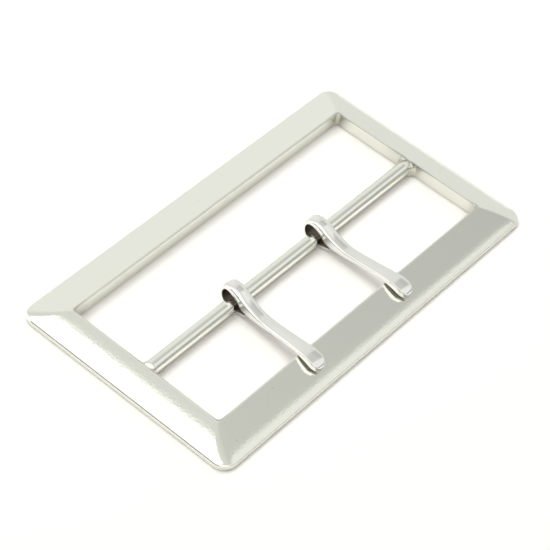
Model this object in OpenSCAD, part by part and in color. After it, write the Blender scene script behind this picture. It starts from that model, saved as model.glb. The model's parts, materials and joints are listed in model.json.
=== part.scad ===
// Two-prong belt buckle: a bevelled rectangular frame, a centre bar with two
// necked seats, and two loose prongs whose tips lie on the near long rail.
// X runs along the long side, Y across the strap slots, Z up from the back.

/* [Frame] */
// Length of the frame along X
frame_l = 94; // [86:1:102]
// Width of the frame along Y
frame_w = 53.5; // [51:0.5:56]
// Width of each long rail, seen from above
long_rail_w = 8; // [7.8:0.1:8.2]
// Width of each end rail, seen from above
end_rail_w = 6.8; // [6:0.1:8]
// Height of the crest round the window
crest_h = 3.4; // [3.3:0.05:3.45]
// Height of the upright outer rim
rim_h = 1.2; // [0.8:0.1:1.3]
// How far the bevel bulges above a straight slope
bevel_bulge = 0.22; // [0:0.02:0.26]
// Share of a rail's width that is flat crest
crest_share = 0.06; // [0.03:0.01:0.08]
// Radius of the outer corners in plan
corner_r = 3.2; // [2:0.1:5]
// Radius of the window corners in plan
window_r = 0.9; // [0.5:0.1:1.5]

/* [Centre bar] */
// Diameter of the bar
bar_d = 3.1; // [2.8:0.05:3.15]
// Diameter of the necks that the prongs turn on
neck_d = 1.6; // [1.4:0.05:1.65]
// Length of each neck
seat_w = 4.2; // [4:0.1:5]
// Radius of the rounded shoulder at each end of a neck
shoulder_r = 0.45; // [0.2:0.05:0.5]
// Height of the bar's axis above the back
bar_z = 1.7; // [1.68:0.01:1.75]
// Place of the bar's axis along Y
bar_y = -0.5; // [-0.6:0.05:-0.4]
// Diameter of the tenon at each end of the bar
tenon_d = 2.2; // [1.8:0.1:2.4]
// Length of each tenon inside its end rail
tenon_l = 2; // [1.5:0.1:3]

/* [Prongs] */
// Place of the left prong along X
left_x = -14.4; // [-18:0.1:-12]
// Place of the right prong along X
right_x = 11.1; // [9:0.1:14]
// How far the loose left prong has swung sideways
left_skew = -5.2; // [-6:0.1:6]
// How far the loose right prong has swung sideways
right_skew = -1; // [-6:0.1:6]
// Outer radius of the eye
eye_r = 2.55; // [2.5:0.01:2.57]
// Height of the eye's crown above the hinge axis
eye_top = 3.3; // [3.2:0.05:3.35]
// Radius of the eye's hole
eye_hole_r = 1.95; // [1.94:0.01:2]
// Width of the eye along the bar
eye_w = 3; // [2.8:0.1:3.2]
// Width of the shank at its narrowest
shank_w = 2.6; // [2.3:0.1:2.8]
// Width of the rounded tip
tip_w = 3.3; // [3:0.1:3.5]

/* [Hidden] */
$fn = 64;
EPS = 0.01;

window_l = frame_l - 2 * end_rail_w;
window_w = frame_w - 2 * long_rail_w;
bevel_steps = 10;

// End boss: a pad on the rail's inner wall, with a hollow fillet on each side
boss_w = bar_d + 0.5;
boss_run = 1.1;
web_r = 1.3;
web_h = 2.5;

// Hinge axis: the centre of the eye, which stands on the back plane
eye_y = -0.05;
eye_z = 2.57;

// Side view of the prong, as distance from the hinge axis and height over it
tip_centre = [23.4, 0.98];
tip_r = 0.85;
tip_arc = [68, -106];
crown_start = 150; // angle where the eye's round back gives way to its crown
shank_top = [on_circle([0, 0], eye_r, crown_start), [-1.5, 2.75], [0, eye_top], [2.2, 2.75],
             [4.6, 1.5], [8, 0.75], [13, 1.3], [18.5, 2.15], [21.3, 2.4],
             on_circle(tip_centre, tip_r, tip_arc[0])];
shank_under = [on_circle(tip_centre, tip_r, tip_arc[1]), [21.6, 0.62], [19.2, 1.05], [16, 0.85],
               [12, 0.2], [8.6, -0.45], [6.2, -0.62], [4.8, -0.5]];
prong_l = tip_centre[0] + tip_r;
curve_steps = 5;

// The tail closes the eye from below and stops short of the shank
tail_end = 4.2;
tail_top = -0.72;
tail_t = 0.5;

// Plan view of the prong, as distance from the hinge axis and half width
prong_plan = [[-3, eye_w / 2], [3.5, eye_w / 2], [7.5, shank_w / 2],
              [13, shank_w / 2 + 0.05], [18.5, tip_w / 2 - 0.15],
              [prong_l - tip_w / 2 - 0.8, tip_w / 2], [prong_l - tip_w / 2, tip_w / 2]];

function on_circle(centre, r, angle) = centre + r * [cos(angle), sin(angle)];

// Catmull-Rom point between p[1] and p[2]
function curve_point(p, t) =
    0.5 * (2 * p[1] + (p[2] - p[0]) * t + (2 * p[0] - 5 * p[1] + 4 * p[2] - p[3]) * t * t
           + (3 * p[1] - p[0] - 3 * p[2] + p[3]) * t * t * t);

// Smooth curve through all of the given points
function curve(points) = [
    for (i = [0 : len(points) - 2]) let (
        before = points[max(i - 1, 0)],
        after = points[min(i + 2, len(points) - 1)]
    ) for (k = [0 : curve_steps - 1])
        curve_point([before, points[i], points[i + 1], after], k / curve_steps),
    points[len(points) - 1]
];

// Height of the bevel at a share s of the way from the rim to the crest
function bevel_z(s) = rim_h + (crest_h - rim_h) * s + 4 * bevel_bulge * s * (1 - s);

// Half of a gable's outline, from the outer edge inwards
function half_gable(span, rail_w) = [
    for (i = [0 : bevel_steps]) let (s = i / bevel_steps)
        [span / 2 - s * rail_w * (1 - crest_share), bevel_z(s)]
];

function flip(points) = [for (i = [len(points) - 1 : -1 : 0]) [-points[i][0], points[i][1]]];

// Outline with a bevel at both ends, level with the crest between them
module gable(span, rail_w) {
    half = half_gable(span, rail_w);
    polygon(concat([[span / 2, 0]], half, flip(half), [[-span / 2, 0]]));
}

module along_x(length) {
    rotate([90, 0, 90]) linear_extrude(height = length, center = true) children();
}

module along_y(length) {
    rotate([90, 0, 0]) linear_extrude(height = length, center = true) children();
}

module rounded_plan(l, w, r) {
    square([l - 2 * r, w], center = true);
    square([l, w - 2 * r], center = true);
    for (x = [-1, 1], y = [-1, 1]) translate([x * (l / 2 - r), y * (w / 2 - r)]) circle(r);
}

module bevelled_block() {
    intersection() {
        along_x(frame_l + 2) gable(frame_w, long_rail_w);
        along_y(frame_w + 2) gable(frame_l, end_rail_w);
        linear_extrude(height = crest_h + 1) rounded_plan(frame_l, frame_w, corner_r);
    }
}

// Plan of the hollow fillets beside a boss whose wall is at x = 0
module web_plan() {
    half = boss_w / 2 + web_r;
    difference() {
        translate([-web_r, -half]) square([web_r + 1, 2 * half]);
        for (side = [-1, 1]) translate([-web_r, side * half]) circle(web_r);
    }
}

module end_boss() {
    translate([window_l / 2, bar_y, 0]) {
        linear_extrude(height = web_h) web_plan();
        linear_extrude(height = crest_h) translate([-boss_run, -boss_w / 2])
            square([boss_run + 1, boss_w]);
    }
}

module bar_socket() {
    translate([window_l / 2 - web_r - 1, bar_y, bar_z]) rotate([0, 90, 0])
        cylinder(h = web_r + 1, d = bar_d);
    translate([window_l / 2 - EPS, bar_y, bar_z]) rotate([0, 90, 0])
        cylinder(h = tenon_l + EPS, d = tenon_d);
}

module frame() {
    color("gainsboro") difference() {
        union() {
            difference() {
                bevelled_block();
                translate([0, 0, -1]) linear_extrude(height = crest_h + 2)
                    rounded_plan(window_l, window_w, window_r);
            }
            end_boss();
            mirror([1, 0, 0]) end_boss();
        }
        bar_socket();
        mirror([1, 0, 0]) bar_socket();
    }
}

// Quarter round from the bar down to the neck, on one side of a seat
function shoulder(x, side) = [
    for (a = [0 : 15 : 90])
        [bar_d / 2 - shoulder_r * (1 - cos(a)), x + side * shoulder_r * (1 - sin(a))]
];

function reversed(points) = [for (i = [len(points) - 1 : -1 : 0]) points[i]];

// Radius and place of the bar's outline through one seat, from left to right
function seat(x) = concat(
    shoulder(x - seat_w / 2, -1), [[neck_d / 2, x - seat_w / 2], [neck_d / 2, x + seat_w / 2]],
    reversed(shoulder(x + seat_w / 2, 1)));

module centre_bar() {
    end = window_l / 2;
    color("silver") translate([0, bar_y, bar_z]) rotate([0, 90, 0]) rotate_extrude()
        polygon(concat(
            [[0, -end - tenon_l], [tenon_d / 2, -end - tenon_l], [tenon_d / 2, -end],
             [bar_d / 2, -end]],
            seat(left_x), seat(right_x),
            [[bar_d / 2, end], [tenon_d / 2, end], [tenon_d / 2, end + tenon_l],
             [0, end + tenon_l]]));
}

// Direction from the origin to where a tangent from p touches a circle round it
function tangent_angle(p, r, side) = atan2(p[1], p[0]) + side * acos(r / norm(p));

function arc(centre, r, from, to, steps) =
    [for (i = [0 : steps]) on_circle(centre, r, from + (to - from) * i / steps)];

// Prong seen from the side, with the hinge axis at the origin; the eye's round
// hole is cut afterwards, so the outline only runs in to the axis there
module prong_side() {
    tail_under = [tail_end, tail_top - tail_t];
    inside_r = eye_hole_r - 0.02;
    roof = shank_under[len(shank_under) - 1];
    floor = [tail_end, tail_top];
    polygon(concat(
        [tail_under],
        arc([0, 0], eye_r, tangent_angle(tail_under, eye_r, -1), crown_start + 5 - 360, 30),
        curve(shank_top),
        arc(tip_centre, tip_r, tip_arc[0] - 10, tip_arc[1] + 10, 14),
        curve(shank_under),
        [on_circle([0, 0], inside_r, tangent_angle(roof, inside_r, 1)), [0, 0],
         on_circle([0, 0], inside_r, tangent_angle(floor, inside_r, -1)), floor]));
}

// Prong seen from above, with the hinge axis along X through the origin
module prong_outline() {
    polygon(concat([for (p = prong_plan) [p[1], -p[0]]],
                   arc([0, tip_w / 2 - prong_l], tip_w / 2, -10, -170, 16),
                   reversed([for (p = prong_plan) [-p[1], -p[0]]])));
}

module prong(x, skew) {
    translate([x, eye_y, eye_z]) rotate([0, 0, skew]) difference() {
        intersection() {
            rotate([90, 0, -90]) linear_extrude(height = 2 * tip_w, center = true) prong_side();
            translate([0, 0, -5]) linear_extrude(height = 10) prong_outline();
        }
        rotate([0, 90, 0]) cylinder(h = 2 * eye_w, r = eye_hole_r, center = true);
    }
}

module left_prong() {
    color("whitesmoke") prong(left_x, left_skew);
}

module right_prong() {
    color("whitesmoke") prong(right_x, right_skew);
}

frame();
centre_bar();
left_prong();
right_prong();
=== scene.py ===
"""Two-prong belt buckle in bright nickel plate, lying on its back on a white table.

Every shape is built in metres in the CAD frame: X along the long side, Y across the
strap slots, Z out of the front face, with the flat back on z = 0.
"""
import json
import math
import bpy
from mathutils import Matrix, Vector


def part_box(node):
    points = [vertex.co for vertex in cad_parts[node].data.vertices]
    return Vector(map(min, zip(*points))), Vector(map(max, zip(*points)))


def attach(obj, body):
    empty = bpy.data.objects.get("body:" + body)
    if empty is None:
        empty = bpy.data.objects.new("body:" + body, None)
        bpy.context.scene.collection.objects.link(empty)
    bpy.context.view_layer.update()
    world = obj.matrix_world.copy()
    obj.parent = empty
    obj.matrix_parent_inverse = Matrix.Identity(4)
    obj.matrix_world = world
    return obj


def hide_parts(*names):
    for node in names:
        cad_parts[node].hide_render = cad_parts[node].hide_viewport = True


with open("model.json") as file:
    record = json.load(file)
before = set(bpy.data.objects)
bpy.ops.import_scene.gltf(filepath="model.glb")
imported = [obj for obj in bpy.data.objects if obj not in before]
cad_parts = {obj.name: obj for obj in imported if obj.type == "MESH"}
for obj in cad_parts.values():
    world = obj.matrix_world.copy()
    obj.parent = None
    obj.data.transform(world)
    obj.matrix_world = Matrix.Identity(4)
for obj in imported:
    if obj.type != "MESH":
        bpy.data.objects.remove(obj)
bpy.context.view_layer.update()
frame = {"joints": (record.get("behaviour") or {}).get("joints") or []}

MM = 0.001

# ---------------------------------------------------------------- sizes from the frame
HALF_L, HALF_W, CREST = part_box("frame")[1]
BAR_LO, BAR_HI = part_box("centre_bar")
HINGE = {j["child"]: Vector(j["pos_m"]) for j in frame["joints"]}

LONG_RAIL = 8.0 * MM           # width of the rails along X
END_RAIL = 6.8 * MM            # width of the rails along Y
WINDOW_X = HALF_L - END_RAIL   # half length of the window
WINDOW_Y = HALF_W - LONG_RAIL  # half width of the window

BAR_R = (BAR_HI.z - BAR_LO.z) / 2
BAR_Y = (BAR_HI.y + BAR_LO.y) / 2
BAR_Z = (BAR_HI.z + BAR_LO.z) / 2


# ---------------------------------------------------------------- small helpers
def lerp(a, b, t):
    return a + (b - a) * t


def smooth(t):
    t = min(max(t, 0.0), 1.0)
    return t * t * (3 - 2 * t)


def curve(points, x):
    """Smooth (monotone cubic) curve through (x, value) points, read at x."""
    if x <= points[0][0]:
        return points[0][1]
    if x >= points[-1][0]:
        return points[-1][1]
    slopes = [(b[1] - a[1]) / (b[0] - a[0]) for a, b in zip(points, points[1:])]
    tangents = [slopes[0]]
    for m0, m1 in zip(slopes, slopes[1:]):
        tangents.append(0.0 if m0 * m1 <= 0 else 2 * m0 * m1 / (m0 + m1))
    tangents.append(slopes[-1])
    i = next(i for i, point in enumerate(points[1:]) if x <= point[0])
    a, b = points[i], points[i + 1]
    h = b[0] - a[0]
    t = (x - a[0]) / h
    return ((2 * t**3 - 3 * t**2 + 1) * a[1] + (t**3 - 2 * t**2 + t) * h * tangents[i]
            + (3 * t**2 - 2 * t**3) * b[1] + (t**3 - t**2) * h * tangents[i + 1])


def quarter(r, *angles):
    """Points of a quarter round, as (run from its start, rise from its start)."""
    angles = [math.radians(a) for a in angles]
    return [(r * (1 - math.cos(a)), r * math.sin(a)) for a in angles]


def make_mesh(name, verts, faces):
    mesh = bpy.data.meshes.new(name)
    mesh.from_pydata([tuple(v) for v in verts], [], faces)
    mesh.validate()
    mesh.shade_smooth()
    mesh.update()
    obj = bpy.data.objects.new(name, mesh)
    bpy.context.scene.collection.objects.link(obj)
    return obj


def skin(name, rings, close_rows=False):
    """Mesh through a list of rings of equal length; open ends get a fan of triangles."""
    n = len(rings[0])
    verts = [p for ring in rings for p in ring]
    faces = []
    rows = len(rings) if close_rows else len(rings) - 1
    for i in range(rows):
        a, b = i * n, (i + 1) % len(rings) * n
        for k in range(n):
            after = (k + 1) % n
            faces.append((a + k, a + after, b + after, b + k))
    if not close_rows:
        for start, flip in ((0, True), ((len(rings) - 1) * n, False)):
            verts.append(sum((Vector(verts[start + k]) for k in range(n)), Vector()) / n)
            hub = len(verts) - 1
            for k in range(n):
                here, after = start + k, start + (k + 1) % n
                faces.append((hub, after, here) if flip else (hub, here, after))
    return make_mesh(name, verts, faces)


def paint(obj, values):
    """Store one value per vertex, which the material reads as painted shade and patina."""
    layer = obj.data.attributes.new("shade_and_patina", "FLOAT", "POINT")
    for item, value in zip(layer.data, values):
        item.value = value


# ---------------------------------------------------------------- frame casting
ARRIS_R = 0.28 * MM           # round edge along the window
CREST_END = 0.9 * MM          # where the narrow crest has turned into the bevel
RIM_EDGE_R = 0.4 * MM         # round edge over the upright rim
BACK_EDGE_R = 0.15 * MM       # round edges of the back
BACK_INSET = 0.5 * MM         # first row of the flat back, in from its edges
BEVEL_SLOPES = (0.235, 0.44)  # at the crest and at the rim
WINDOW_CORNER_R = 0.9 * MM
MITRE_R = 1.2 * MM            # plan radius of the mitres, which widen towards the rim
OUTER_CORNER_R = 3.2 * MM

WALL_STEPS = 14
CREST_STEPS = 5
BEVEL_STEPS = 22
RIM_EDGE_STEPS = 6
RIM_STEPS = 4
CORNER_STEPS = 14
LONG_SIDE_STEPS = 24

BOSS_RUN = 1.15 * MM          # how far an end boss stands out of the wall
BOSS_FIT = 1.04               # its radius, as a share of the bar's
BOSS_FOOT = 0.6               # least half width, as a share of the bar's radius
BOSS_EDGE = 0.5 * MM          # the boss fades out over this distance
BOSS_TOP = 0.75 * MM          # and it starts to fade this far below the crest
BOSS_REACH = 6 * MM           # stations are even beyond this far from the bar
BOSS_ANGLES = (0, 12, 24, 36, 48, 60, 72, 82, 90)
WEB_R = 1.15 * MM             # radius of the hollow fillets beside a boss

# Painted shade on the window's inner walls: a little all along them, more in the nooks
WALL_SHADE = 0.08
NOOK_SHADE = 0.45             # painted shade in the window's corners and beside the bosses
CORNER_NOOK = 2.6 * MM
BOSS_NOOK = 2.2 * MM


def bevel_height(t):
    """Height of the front face at t from the window's edge, on a long rail."""
    m1, m2 = BEVEL_SLOPES
    flat = CREST_END - ARRIS_R
    if t < CREST_END:
        return CREST - 0.5 * m1 / flat * max(t - ARRIS_R, 0.0) ** 2
    u = (t - CREST_END) / (LONG_RAIL - CREST_END)
    drop = (LONG_RAIL - CREST_END) * (m1 * u + (m2 - m1) * u**3 / 3)
    return CREST - 0.5 * m1 * flat - drop


def frame_profile():
    """Rows of the rail's section as (distance from the window's edge, height)."""
    rows = [(BACK_INSET, 0.0), (BACK_EDGE_R, 0.0)]
    rows += [(BACK_EDGE_R - rise, run) for run, rise in quarter(BACK_EDGE_R, 30, 60, 90)]
    wall_top = CREST - ARRIS_R
    rows += [(0.0, lerp(BACK_EDGE_R, wall_top, i / WALL_STEPS)) for i in range(1, WALL_STEPS)]
    rows += [(run, wall_top + rise) for run, rise in quarter(ARRIS_R, *range(0, 91, 15))]
    edge_start = LONG_RAIL - RIM_EDGE_R
    steps = [lerp(ARRIS_R, CREST_END, i / CREST_STEPS) for i in range(1, CREST_STEPS + 1)]
    steps += [lerp(CREST_END, edge_start, i / BEVEL_STEPS) for i in range(1, BEVEL_STEPS + 1)]
    rows += [(t, bevel_height(t)) for t in steps]
    tilt = math.atan(BEVEL_SLOPES[1])
    top = rows[-1][1]
    for i in range(1, RIM_EDGE_STEPS + 1):
        a = lerp(tilt, math.pi / 2, i / RIM_EDGE_STEPS)
        run = (math.sin(a) - math.sin(tilt)) / (1 - math.sin(tilt))
        rows.append((edge_start + RIM_EDGE_R * run, top - RIM_EDGE_R * (math.cos(tilt) - math.cos(a))))
    low = rows[-1][1]
    rows += [(LONG_RAIL, lerp(low, BACK_EDGE_R, i / RIM_STEPS)) for i in range(1, RIM_STEPS + 1)]
    rows += [(LONG_RAIL - run, BACK_EDGE_R - rise) for run, rise in quarter(BACK_EDGE_R, 30, 60, 90)]
    rows.append((LONG_RAIL - BACK_INSET, 0.0))
    return rows


def corner_radius(s):
    """Plan radius of the loop at a share s of the way from the window to the rim."""
    return curve([(0.0, WINDOW_CORNER_R), (0.12, 0.8 * MITRE_R), (0.35, 1.2 * MITRE_R),
                  (0.65, 1.8 * MITRE_R), (0.88, 0.85 * OUTER_CORNER_R), (1.0, OUTER_CORNER_R)], s)


def boss_stations():
    """Stations over an end boss: (side, angle in the hollow fillet), from low y to high y."""
    angles = [math.radians(a) for a in BOSS_ANGLES]
    return [(-1, a) for a in angles] + [(0, 0.0)] + [(1, a) for a in reversed(angles)]


def end_side(t, z, half):
    """Stations along an end rail, from -half to half, as (y, how far inwards)."""
    # the boss follows the bar's chord above its axis and drops straight below it
    rise = max(z - BAR_Z, 0.0)
    chord = math.sqrt(max((BAR_R * BOSS_FIT) ** 2 - rise**2, (BOSS_FOOT * BAR_R) ** 2))
    on_wall = 1 - smooth(t / BOSS_EDGE)
    spread = lerp(BAR_R, chord, on_wall)
    run = BOSS_RUN * on_wall * (1 - smooth((z - (CREST - BOSS_TOP)) / BOSS_EDGE))
    even = [i / 10 for i in range(10)]
    side = [(lerp(-half, BAR_Y - BOSS_REACH, f), 0.0) for f in even]
    for sign, a in boss_stations():
        y = BAR_Y + sign * (spread + WEB_R * (1 - math.sin(a)))
        side.append((y, run * (1 - math.cos(a)) if sign else run))
    return side + [(lerp(BAR_Y + BOSS_REACH, half, f + 0.1), 0.0) for f in even]


def loop(t, z):
    """One closed loop of the frame, anticlockwise from above."""
    s = t / LONG_RAIL
    hx, hy = WINDOW_X + s * END_RAIL, WINDOW_Y + s * LONG_RAIL
    r = corner_radius(s)
    cx, cy = hx - r, hy - r
    side = end_side(t, z, cy)
    corner = [math.radians(90 * i / CORNER_STEPS) for i in range(1, CORNER_STEPS)]
    along = [i / LONG_SIDE_STEPS for i in range(LONG_SIDE_STEPS + 1)]
    pts = [(hx - inward, y) for y, inward in side]
    pts += [(cx + r * math.cos(a), cy + r * math.sin(a)) for a in corner]
    pts += [(lerp(cx, -cx, f), hy) for f in along]
    pts += [(-cx - r * math.sin(a), cy + r * math.cos(a)) for a in corner]
    pts += [(inward - hx, y) for y, inward in reversed(side)]
    pts += [(-cx - r * math.cos(a), -cy - r * math.sin(a)) for a in corner]
    pts += [(lerp(-cx, cx, f), -hy) for f in along]
    pts += [(cx + r * math.sin(a), -cy - r * math.cos(a)) for a in corner]
    return [Vector((x, y, z)) for x, y in pts]


def build_frame():
    rows = frame_profile()[::-1]  # from the rim to the window, so that the faces look outwards
    loops = [loop(t, z) for t, z in rows]
    obj = skin("frame_casting", loops, close_rows=True)
    # Painted shade on the window's inner walls, deepest in the window's corners and beside the bosses
    shade_and_patina = []
    for (t, _), ring in zip(rows, loops):
        on_wall = 1 - smooth((t - ARRIS_R) / ARRIS_R)
        for p in ring:
            depth = WINDOW_X - abs(p.x)
            corner = math.hypot(depth, WINDOW_Y - abs(p.y)) / CORNER_NOOK
            boss = math.hypot(depth, abs(p.y - BAR_Y) - BAR_R) / BOSS_NOOK
            near = max(1 - smooth(corner), 1 - smooth(boss))
            shade_and_patina.append(lerp(WALL_SHADE, NOOK_SHADE, near) * on_wall)
    paint(obj, shade_and_patina)
    return obj


# ---------------------------------------------------------------- centre bar
NECK_R = 0.8 * MM
NECK_FOOT = (0.06 * MM, 0.16 * MM)  # height and length of the slope at a neck's foot
SEAT_W = 4.2 * MM                   # length of each neck
SHOULDER_R = 0.45 * MM              # round shoulder at each end of a neck
BAR_SEAT = 0.6 * MM                 # how far the bar runs into each rail
BAR_SIDES = 64
BAR_STEP = 2.5 * MM                 # longest facet along the bar
NECK_SHADE_TOP = 1.25 * MM          # painted shade, partly patina, starts below this radius
NECK_SHADE_FADE = 0.3 * MM          # and it is full this much lower


def bar_outline():
    """Turned outline of the bar, as (x, radius), from left to right."""
    rows = [(-WINDOW_X - BAR_SEAT, BAR_R)]
    for body in ("left_prong", "right_prong"):
        for side in (-1, 1):
            edge = HINGE[body].x + side * SEAT_W / 2
            part = [(edge + side * (SHOULDER_R - rise), BAR_R - run)
                    for run, rise in quarter(SHOULDER_R, *range(0, 91, 15))]
            part.append((edge, lerp(BAR_R - SHOULDER_R, NECK_R, 0.5)))
            part.append((edge - side * NECK_FOOT[0], NECK_R + NECK_FOOT[0]))
            part.append((edge - side * NECK_FOOT[1], NECK_R))
            rows += part if side < 0 else part[::-1]
    rows.append((WINDOW_X + BAR_SEAT, BAR_R))
    filled = []
    for a, b in zip(rows, rows[1:]):
        n = max(1, round((b[0] - a[0]) / BAR_STEP))
        filled += [(lerp(a[0], b[0], i / n), lerp(a[1], b[1], i / n)) for i in range(n)]
    return filled + [rows[-1]]


def build_bar():
    outline = bar_outline()
    turns = [2 * math.pi * k / BAR_SIDES for k in range(BAR_SIDES)]
    rings = [[Vector((x, BAR_Y + r * math.cos(a), BAR_Z + r * math.sin(a))) for a in turns]
             for x, r in outline]
    bar = skin("bar_turned", rings)
    # Painted shade, partly patina: the necks inside the prongs' eyes are darkened brown
    shade_and_patina = [smooth((NECK_SHADE_TOP - r) / NECK_SHADE_FADE) for _, r in outline for _ in turns]
    paint(bar, shade_and_patina + [0.0, 0.0])
    return bar


# ---------------------------------------------------------------- prongs
# Side view, in millimetres from the hinge: pairs of points on the outer and the inner
# side of the bent strip, from the tail's end round the eye and along the shank
STRIP = [
    ((4.15, -1.5), (4.15, -1.1)), ((3.3, -1.78), (3.2, -1.3)), ((2.3, -2.05), (2.2, -1.52)),
    ((1.2, -2.32), (1.1, -1.78)), ((0.0, -2.5), (0.1, -1.98)), ((-1.1, -2.28), (-0.88, -1.8)),
    ((-2.0, -1.58), (-1.68, -1.25)), ((-2.5, -0.6), (-2.1, -0.42)),
    ((-2.65, 0.6), (-2.2, 0.55)), ((-2.35, 1.85), (-1.85, 1.5)), ((-1.45, 2.7), (-1.0, 2.0)),
    ((0.0, 2.98), (0.15, 1.85)), ((1.4, 2.72), (1.2, 1.2)), ((2.55, 2.2), (2.2, 0.4)),
    ((3.7, 1.7), (3.3, -0.3)), ((5.0, 1.25), (4.6, -0.62)), ((6.5, 0.9), (6.2, -0.68)),
    ((8.2, 0.75), (8.2, -0.52)), ((10.5, 0.92), (10.5, -0.1)), ((13.0, 1.25), (13.0, 0.36)),
    ((15.8, 1.66), (15.8, 0.72)), ((18.5, 2.06), (18.5, 0.9)), ((20.6, 2.28), (20.6, 0.68)),
    ((22.3, 2.1), (22.3, 0.25)), ((23.5, 1.7), (23.5, -0.04)), ((24.05, 1.35), (24.05, 0.15)),
    ((24.24, 1.0), (24.24, 0.5)),
]
# Half width of the strip and height of its crown in millimetres, by place in the list above
STRIP_HALF_W = [(0, 1.3), (2, 1.42), (6, 1.5), (12, 1.5), (14, 1.42), (16, 1.32), (18, 1.3),
                (20, 1.38), (21, 1.5), (22, 1.62), (23, 1.65), (24, 1.35), (25, 0.85), (26, 0.35)]
STRIP_CROWN = [(0, 0.05), (7, 0.1), (9, 0.3), (10.5, 0.38), (12, 0.42), (14, 0.32), (17, 0.26),
               (21, 0.2), (24, 0.1), (26, 0.03)]
EYE_END = 14       # place in the list where the eye's hollow ends
TIP_START = 20     # place in the list where the tip begins to lie over the rail
STRIP_STEPS = 6    # rings from one place to the next
EDGE_R = 0.1       # crisp upper edges, in millimetres
CROWN_POWER = 2.2  # how square the crown is
BELLY_SHADE_SHARE = 0.3   # share of the tip's painted shade that is left on its flat underside


def strip_point(i, side):
    return Vector(STRIP[min(max(i, 0), len(STRIP) - 1)][side])


def catmull(p0, p1, p2, p3, t):
    return 0.5 * (2 * p1 + (p2 - p0) * t + (2 * p0 - 5 * p1 + 4 * p2 - p3) * t**2
                  + (3 * p1 - p0 - 3 * p2 + p3) * t**3)


def strip_at(u):
    """Outer and inner point of the strip's side view at place u."""
    i = min(int(u), len(STRIP) - 2)
    return [catmull(*(strip_point(i + k, side) for k in (-1, 0, 1, 2)), u - i) for side in (0, 1)]


def section(half_w, half_t, crown, belly):
    """Strip section, as (across, outwards): crowned outer face, upright sides, crisp edges.

    belly runs from 0 to 1 as the lower edges turn from crisp to round.
    """
    top_r = min(EDGE_R, 0.35 * half_w, 0.35 * half_t)
    low_r = lerp(1.6 * top_r, min(0.8 * half_w, 0.65 * half_t), belly)
    pts = []
    for i in range(15):
        x = lerp(half_w - top_r, top_r - half_w, i / 14)
        pts.append((x, half_t + crown * (1 - abs(x / half_w) ** CROWN_POWER)))
    side = [(half_w - top_r + rise, half_t - run) for run, rise in quarter(top_r, 30, 60, 90)]
    side += [(half_w, lerp(half_t - top_r, low_r - half_t, i / 4)) for i in range(1, 5)]
    side += [(half_w - run, low_r - half_t - rise) for run, rise in quarter(low_r, 30, 60, 90)]
    pts += [(-x, w) for x, w in side]
    pts += [(lerp(low_r - half_w, half_w - low_r, i / 6), -half_t) for i in range(1, 6)]
    return pts + side[::-1]


def strip_shade_and_patina(u, w, half_t):
    """How dark a point of the strip is painted: shade, partly patina, inside the eye, and painted
    shade low on the tip's sides and underside.
    """
    low = w / half_t
    inside = smooth(-2.0 - 3 * low) * (1 - smooth((u - EYE_END + 1.5) / 2.5))
    belly = 0.3 * smooth(-1.2 - 2.5 * low) * smooth((u - EYE_END) / 2)
    under = smooth(-1.5 - 2.7 * low) * smooth((u - TIP_START) / 0.8)
    contact = 0.8 * smooth(-0.3 - 1.5 * low) * smooth((u - TIP_START) / 1.5)
    tip = max(under, contact)
    if low < -0.999:
        tip *= BELLY_SHADE_SHARE
    return max(inside, belly, tip)


def build_prong(body, skew):
    turn = Matrix.Rotation(math.radians(skew), 3, "Z")
    rings = []
    shade_and_patina = []
    for k in range((len(STRIP) - 1) * STRIP_STEPS + 1):
        u = k / STRIP_STEPS
        outer, inner = strip_at(u)
        mid, across = (outer + inner) / 2, outer - inner
        half_t = across.length / 2
        across.normalize()
        ring = []
        belly = smooth((u - TIP_START + 1) / 2)
        for x, w in section(curve(STRIP_HALF_W, u), half_t, curve(STRIP_CROWN, u), belly):
            p = mid + across * w
            ring.append(HINGE[body] + turn @ Vector((x, -p[0], p[1])) * MM)
            # painted shade under the strip and along the tip, partly patina inside the eye
            shade_and_patina.append(strip_shade_and_patina(u, w, half_t))
        rings.append(ring)
    obj = skin(body + "_forged", rings)
    paint(obj, shade_and_patina + [1.0, shade_and_patina[-1]])
    return obj


# ---------------------------------------------------------------- node wiring
class Graph:
    """Short names for wiring node maths."""

    def __init__(self, tree):
        self.nodes, self.links = tree.nodes, tree.links

    def put(self, socket, value):
        if isinstance(value, (int, float)):
            socket.default_value = value
        else:
            self.links.new(value, socket)

    def math(self, op, a, b, clamp=False):
        node = self.nodes.new("ShaderNodeMath")
        node.operation = op
        node.use_clamp = clamp
        self.put(node.inputs[0], a)
        self.put(node.inputs[1], b)
        return node.outputs[0]

    def step(self, value, low, high):
        """0 at low, 1 at high, smooth between them."""
        node = self.nodes.new("ShaderNodeMapRange")
        node.interpolation_type = "SMOOTHSTEP"
        self.put(node.inputs["Value"], value)
        rising = low < high
        node.inputs["From Min"].default_value = min(low, high)
        node.inputs["From Max"].default_value = max(low, high)
        node.inputs["To Min"].default_value = 0.0 if rising else 1.0
        node.inputs["To Max"].default_value = 1.0 if rising else 0.0
        return node.outputs[0]

    def mix(self, a, b, share):
        node = self.nodes.new("ShaderNodeMix")
        node.data_type = "FLOAT"
        self.put(node.inputs["Factor"], share)
        self.put(node.inputs["A"], a)
        self.put(node.inputs["B"], b)
        return node.outputs["Result"]

    def mix_colour(self, a, b, share):
        node = self.nodes.new("ShaderNodeMix")
        node.data_type = "RGBA"
        factor, first, second = (node.inputs[i] for i in (0, 6, 7))
        self.put(factor, share)
        first.default_value = (*a, 1)
        second.default_value = (*b, 1)
        return node.outputs[2]

    def noise(self, place, scale, detail):
        node = self.nodes.new("ShaderNodeTexNoise")
        node.inputs["Scale"].default_value = scale
        node.inputs["Detail"].default_value = detail
        self.put(node.inputs["Vector"], place)
        return node.outputs["Fac"]


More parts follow.
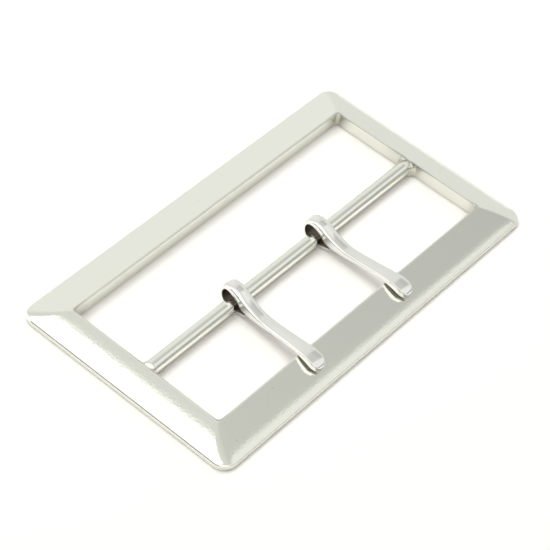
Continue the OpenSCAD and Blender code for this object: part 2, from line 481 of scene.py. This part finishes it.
# ---------------------------------------------------------------- materials
# Brown and dull, for painted shade, for patina inside the eyes and on the necks, and for the floor of
# pits
SHADE_PATINA_PIT_TINT = (0.2, 0.17, 0.13)
SHADE_PATINA_PIT_ROUGH = 0.5
WAVE_SCALE = 220         # slow ripple, about one wave in 5 mm
BLOTCH_SCALE = 900
GRAIN_SCALE = 2200
PIT_SCALE = 420          # a cell of about 2.4 mm, and few cells hold a pit
PIT_DEPTH = 0.004 * MM
PIT_GRIME = 0.3          # how dull the floor of a pit is


def nickel(name, tint, rough, ripple, grain, pits):
    """Bright plate with slow ripple, fine grain, dark pits, and brown painted shade and patina from a
    vertex value.
    """
    mat = bpy.data.materials.new(name)
    mat.use_nodes = True
    g = Graph(mat.node_tree)
    bsdf = g.nodes["Principled BSDF"]
    bsdf.inputs["Metallic"].default_value = 1.0
    place = g.nodes.new("ShaderNodeTexCoord").outputs["Object"]
    wave = g.noise(place, WAVE_SCALE, 3)
    fine = g.noise(place, GRAIN_SCALE, 4)
    blotch = g.noise(place, BLOTCH_SCALE, 3)
    cells = g.nodes.new("ShaderNodeTexVoronoi")
    cells.inputs["Scale"].default_value = PIT_SCALE
    g.put(cells.inputs["Vector"], place)
    rare = g.nodes.new("ShaderNodeSeparateColor")
    g.put(rare.inputs[0], cells.outputs["Color"])
    pit = g.math("MULTIPLY", g.step(cells.outputs["Distance"], 0.1, 0.03),
                 g.math("MULTIPLY", g.step(rare.outputs[0], 0.6, 0.7), pits))
    # painted shade and patina from the vertex values, broken up by blotches
    mark = g.nodes.new("ShaderNodeAttribute")
    mark.attribute_name = "shade_and_patina"
    shade_and_patina = g.math("MULTIPLY", mark.outputs["Fac"], g.mix(0.75, 1.1, blotch), clamp=True)
    dull = g.math("MAXIMUM", shade_and_patina, g.math("MULTIPLY", pit, PIT_GRIME))
    g.put(bsdf.inputs["Base Color"], g.mix_colour(tint, SHADE_PATINA_PIT_TINT, dull))
    g.put(bsdf.inputs["Roughness"], g.mix(g.mix(rough, rough * 1.5, wave), SHADE_PATINA_PIT_ROUGH, dull))
    height = g.math("ADD", g.math("MULTIPLY", wave, ripple), g.math("MULTIPLY", fine, grain))
    height = g.math("SUBTRACT", height, g.math("MULTIPLY", pit, PIT_DEPTH))
    bump = g.nodes.new("ShaderNodeBump")
    bump.inputs["Distance"].default_value = 1.0
    bump.inputs["Strength"].default_value = 1.0
    g.put(bump.inputs["Height"], height)
    g.put(bsdf.inputs["Normal"], bump.outputs["Normal"])
    return mat


# ---------------------------------------------------------------- camera, light, floor
CAMERA_AZIMUTH = -56.27       # degrees, 0 looks along +Y
CAMERA_ELEVATION = 47.64
CAMERA_ROLL = 9.51
CAMERA_DISTANCE = 0.4272
CAMERA_TARGET = Vector((-2.43, -0.55, 0)) * MM
CAMERA_LENS = 139.6
SENSOR = 36

# The ceiling's tones, laid one over another: (tone, axis of the direction, from, to)
CEILING = 0.66
CEILING_TONES = (
    (0.56, "x", 0.46, 0.66),
    (0.84, "y", 0.2, 0.3),
    (0.92, "y", 0.5, 0.62),
    (0.95, "y", -0.21, -0.26),
    (0.77, "x", 0.25, 0.1),
    (0.84, "x", 0.7, 0.78),
    (1.38, "x", -0.018, -0.034),  # bright softbox overhead on the left
)
FRONT_TONE = 0.48             # grey low in front
LOW_TONE = 0.16               # dark low on the left
TINT_GAINS = (1.0, 1.0, 0.965)

FLOOR_HALF = 3.0
FLOOR_Z = -0.02 * MM          # just clear of the back
FLOOR_TINT = (0.915, 0.9, 0.855)


def place_camera():
    azimuth, elevation, roll = (
        math.radians(a) for a in (CAMERA_AZIMUTH, CAMERA_ELEVATION, CAMERA_ROLL))
    back = Vector((math.sin(azimuth) * math.cos(elevation),
                   -math.cos(azimuth) * math.cos(elevation), math.sin(elevation)))
    right = Vector((math.cos(azimuth), math.sin(azimuth), 0))
    up = back.cross(right)
    right, up = (right * math.cos(roll) + up * math.sin(roll),
                 up * math.cos(roll) - right * math.sin(roll))
    data = bpy.data.cameras.new("camera")
    data.sensor_width = SENSOR
    data.lens = CAMERA_LENS
    data.clip_start, data.clip_end = 0.01, 10
    cam = bpy.data.objects.new("camera", data)
    bpy.context.scene.collection.objects.link(cam)
    turn = Matrix((right, up, back)).transposed().to_4x4()
    cam.matrix_world = Matrix.Translation(CAMERA_TARGET + back * CAMERA_DISTANCE) @ turn
    bpy.context.scene.camera = cam


def light_studio():
    """Reflections come from the world's tones, and the floor's light from three lamps."""
    world = bpy.data.worlds.new("studio")
    bpy.context.scene.world = world
    world.use_nodes = True
    world.cycles_visibility.diffuse = False
    g = Graph(world.node_tree)
    coord = g.nodes.new("ShaderNodeTexCoord")
    xyz = g.nodes.new("ShaderNodeSeparateXYZ")
    g.put(xyz.inputs[0], coord.outputs["Generated"])
    axes = dict(zip("xyz", xyz.outputs))

    tone = CEILING
    for level, axis, start, end in CEILING_TONES:
        tone = g.mix(tone, level, g.step(axes[axis], start, end))
    low = g.math("MULTIPLY", g.step(axes["z"], 0.72, 0.6), g.step(axes["x"], -0.3, -0.4))
    low = g.math("MULTIPLY", low, g.step(axes["y"], -0.5, -0.2))
    low = g.math("MULTIPLY", low, g.step(axes["y"], 0.62, 0.5))
    front = g.math("MULTIPLY", g.step(axes["z"], 0.52, 0.4), g.step(axes["y"], -0.3, -0.5))
    tone = g.mix(g.mix(tone, FRONT_TONE, front), LOW_TONE, low)

    rgb = g.nodes.new("ShaderNodeCombineColor")
    for socket, gain in zip(rgb.inputs[:3], TINT_GAINS):
        g.put(socket, g.math("MULTIPLY", tone, gain))
    g.put(g.nodes["Background"].inputs["Color"], rgb.outputs[0])

    area("side_lamp", (0.75, 0.15, 0.55), 1.2, 5.0)
    area("back_lamp", (0.05, 0.42, 0.85), 0.7, 5.0)
    area("top_lamp", (-0.4, -0.1, 0.95), 2.0, 11.4)


def area(name, place, size, power):
    """Round lamp that faces the origin and shows in no reflection."""
    data = bpy.data.lights.new(name, "AREA")
    data.shape = "DISK"
    data.size = size
    data.energy = power
    lamp = bpy.data.objects.new(name, data)
    bpy.context.scene.collection.objects.link(lamp)
    lamp.location = place
    lamp.rotation_mode = "QUATERNION"
    lamp.rotation_quaternion = Vector(place).to_track_quat("Z", "Y")
    lamp.visible_glossy = False


def lay_floor():
    corners = [(x * FLOOR_HALF, y * FLOOR_HALF, 0) for x, y in ((-1, -1), (1, -1), (1, 1), (-1, 1))]
    floor = make_mesh("floor", corners, [(0, 1, 2, 3)])
    floor.location.z = FLOOR_Z
    mat = bpy.data.materials.new("floor_white")
    mat.use_nodes = True
    bsdf = mat.node_tree.nodes["Principled BSDF"]
    bsdf.inputs["Base Color"].default_value = (*FLOOR_TINT, 1)
    bsdf.inputs["Roughness"].default_value = 0.8
    bsdf.inputs["Specular IOR Level"].default_value = 0.0
    floor.data.materials.append(mat)


def add_piece(obj, body, material, node):
    obj.data.materials.append(material)
    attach(obj, body)
    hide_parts(node)


bpy.context.scene.view_settings.view_transform = "Standard"
place_camera()
light_studio()
lay_floor()

frame_nickel = nickel("frame_nickel", (0.855, 0.866, 0.80), 0.07, 0.004 * MM, 0.012 * MM, 0.8)
bar_nickel = nickel("bar_nickel", (0.84, 0.85, 0.79), 0.12, 0.008 * MM, 0.001 * MM, 0.3)
prong_nickel = nickel("prong_nickel", (0.865, 0.865, 0.845), 0.13, 0.02 * MM, 0.0008 * MM, 0.2)

add_piece(build_frame(), "frame", frame_nickel, "frame")
add_piece(build_bar(), "frame", bar_nickel, "centre_bar")
for body, skew in (("left_prong", -5.2), ("right_prong", -1.0)):
    add_piece(build_prong(body, skew), body, prong_nickel, body)
